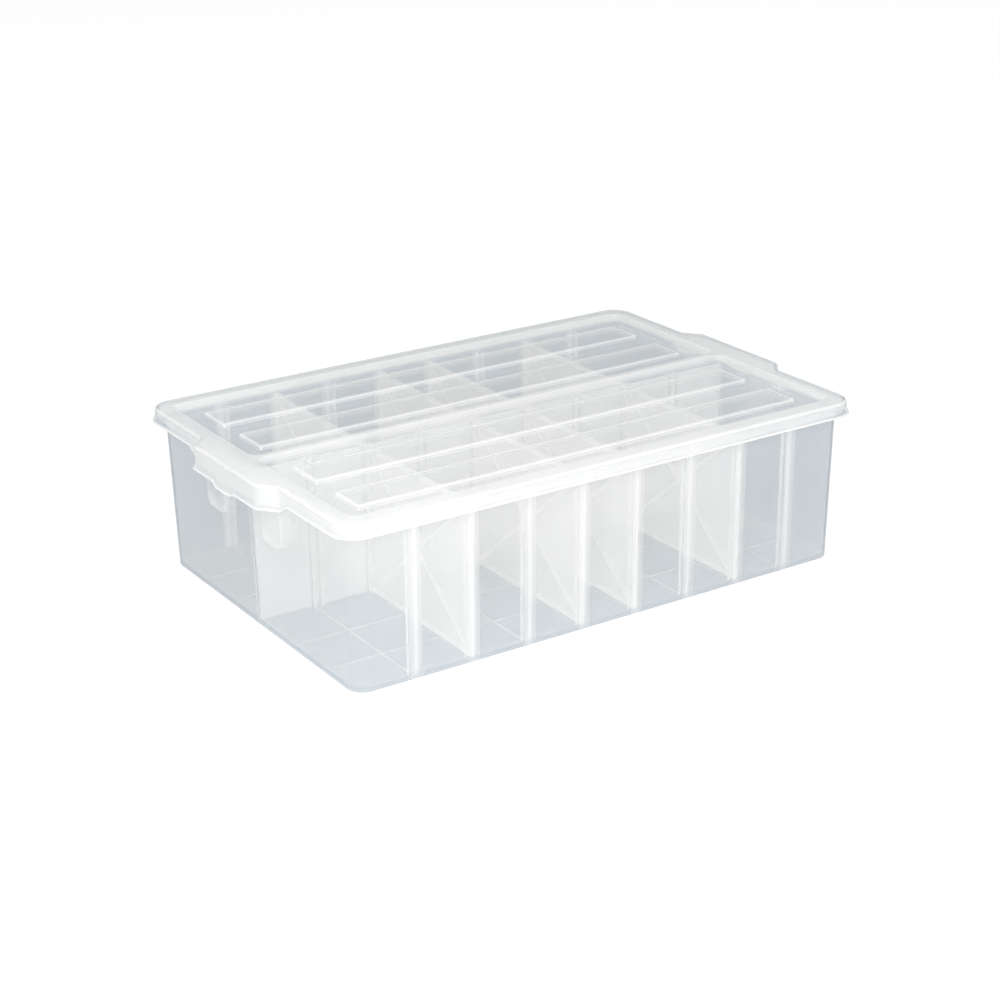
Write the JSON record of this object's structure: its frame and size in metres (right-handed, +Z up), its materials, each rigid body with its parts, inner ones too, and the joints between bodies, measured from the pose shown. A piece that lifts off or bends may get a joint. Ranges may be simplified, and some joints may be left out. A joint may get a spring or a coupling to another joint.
{
  "type": "parts organizer",
  "caption": "Shallow translucent storage box with a press-on ribbed lid, end handles, a moulded centre wall and lift-out dividers held in wall slots.",
  "frame": {"origin": "middle of the base, on the surface that the box stands on", "axes": "+X along the box's length towards one handle, +Y across it, +Z up"},
  "size_m": [0.4148, 0.27, 0.113],
  "materials": {
    "tub_plastic": "translucent natural polypropylene, smooth with a slight haze",
    "lid_plastic": "translucent natural polypropylene, satin",
    "divider_plastic": "translucent natural polypropylene, fine matte"
  },
  "bodies": {
    "tub": {"tub": "tub_plastic"},
    "lid": {"lid": "lid_plastic"},
    "divider_front_1": {"divider_front_1": "divider_plastic"},
    "divider_front_2": {"divider_front_2": "divider_plastic"},
    "divider_front_3": {"divider_front_3": "divider_plastic"},
    "divider_front_4": {"divider_front_4": "divider_plastic"},
    "divider_rear_1": {"divider_rear_1": "divider_plastic"},
    "divider_rear_2": {"divider_rear_2": "divider_plastic"},
    "divider_rear_3": {"divider_rear_3": "divider_plastic"},
    "divider_rear_4": {"divider_rear_4": "divider_plastic"}
  },
  "joints": [
    {"name": "lid_lift", "type": "slide", "parent": "tub", "child": "lid", "axis": [0, 0, 1], "range_m": [0, 0.26]},
    {"name": "divider_front_1_lift", "type": "slide", "parent": "tub", "child": "divider_front_1", "axis": [0, 0, 1], "range_m": [0, 0.117]},
    {"name": "divider_front_2_lift", "type": "slide", "parent": "tub", "child": "divider_front_2", "axis": [0, 0, 1], "range_m": [0, 0.117]},
    {"name": "divider_front_3_lift", "type": "slide", "parent": "tub", "child": "divider_front_3", "axis": [0, 0, 1], "range_m": [0, 0.117]},
    {"name": "divider_front_4_lift", "type": "slide", "parent": "tub", "child": "divider_front_4", "axis": [0, 0, 1], "range_m": [0, 0.117]},
    {"name": "divider_rear_1_lift", "type": "slide", "parent": "tub", "child": "divider_rear_1", "axis": [0, 0, 1], "range_m": [0, 0.117]},
    {"name": "divider_rear_2_lift", "type": "slide", "parent": "tub", "child": "divider_rear_2", "axis": [0, 0, 1], "range_m": [0, 0.117]},
    {"name": "divider_rear_3_lift", "type": "slide", "parent": "tub", "child": "divider_rear_3", "axis": [0, 0, 1], "range_m": [0, 0.117]},
    {"name": "divider_rear_4_lift", "type": "slide", "parent": "tub", "child": "divider_rear_4", "axis": [0, 0, 1], "range_m": [0, 0.117]}
  ],
  "couplings": [
    {"joint": "divider_front_1_lift", "follows": "lid_lift", "ratio": 0.45},
    {"joint": "divider_front_2_lift", "follows": "lid_lift", "ratio": 0.45},
    {"joint": "divider_front_3_lift", "follows": "lid_lift", "ratio": 0.45},
    {"joint": "divider_front_4_lift", "follows": "lid_lift", "ratio": 0.45},
    {"joint": "divider_rear_1_lift", "follows": "lid_lift", "ratio": 0.45},
    {"joint": "divider_rear_2_lift", "follows": "lid_lift", "ratio": 0.45},
    {"joint": "divider_rear_3_lift", "follows": "lid_lift", "ratio": 0.45},
    {"joint": "divider_rear_4_lift", "follows": "lid_lift", "ratio": 0.45}
  ]
}
